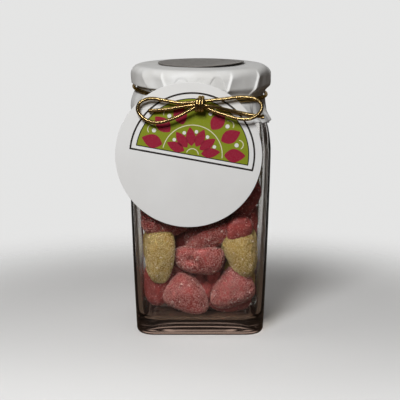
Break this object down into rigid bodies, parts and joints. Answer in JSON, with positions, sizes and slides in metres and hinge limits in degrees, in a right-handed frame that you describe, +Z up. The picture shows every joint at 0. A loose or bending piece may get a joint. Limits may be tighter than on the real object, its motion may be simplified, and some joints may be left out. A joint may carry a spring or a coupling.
{
  "type": "jar of pear drops",
  "caption": "Square clear glass jar full of sugared pear drop sweets, with a white paper cover over its lid, a round card tag and a gold cord bow.",
  "frame": {"origin": "middle of the jar's flat underside, where it stands", "axes": "+Z up along the jar's axis; -Y the front, with the tag and the bow; +X to the right seen from the front"},
  "size_m": [0.0749, 0.0786, 0.1316],
  "materials": {
    "glass": "clear pressed glass",
    "sweets": "sugared jelly, pink and yellow",
    "lid": "lacquered tinplate",
    "cover_paper": "matte white paper",
    "label": "dark coated paper",
    "tag_card": "smooth white card with a printed panel",
    "gold_cord": "metallic gold cord"
  },
  "bodies": {
    "root": {"glass_jar": "glass", "sweets": "sweets", "lid": "lid", "paper_cover": "cover_paper", "top_label": "label", "tag": "tag_card", "neck_cord": "gold_cord", "bow": "gold_cord", "bow_knot": "gold_cord"}
  },
  "joints": []
}
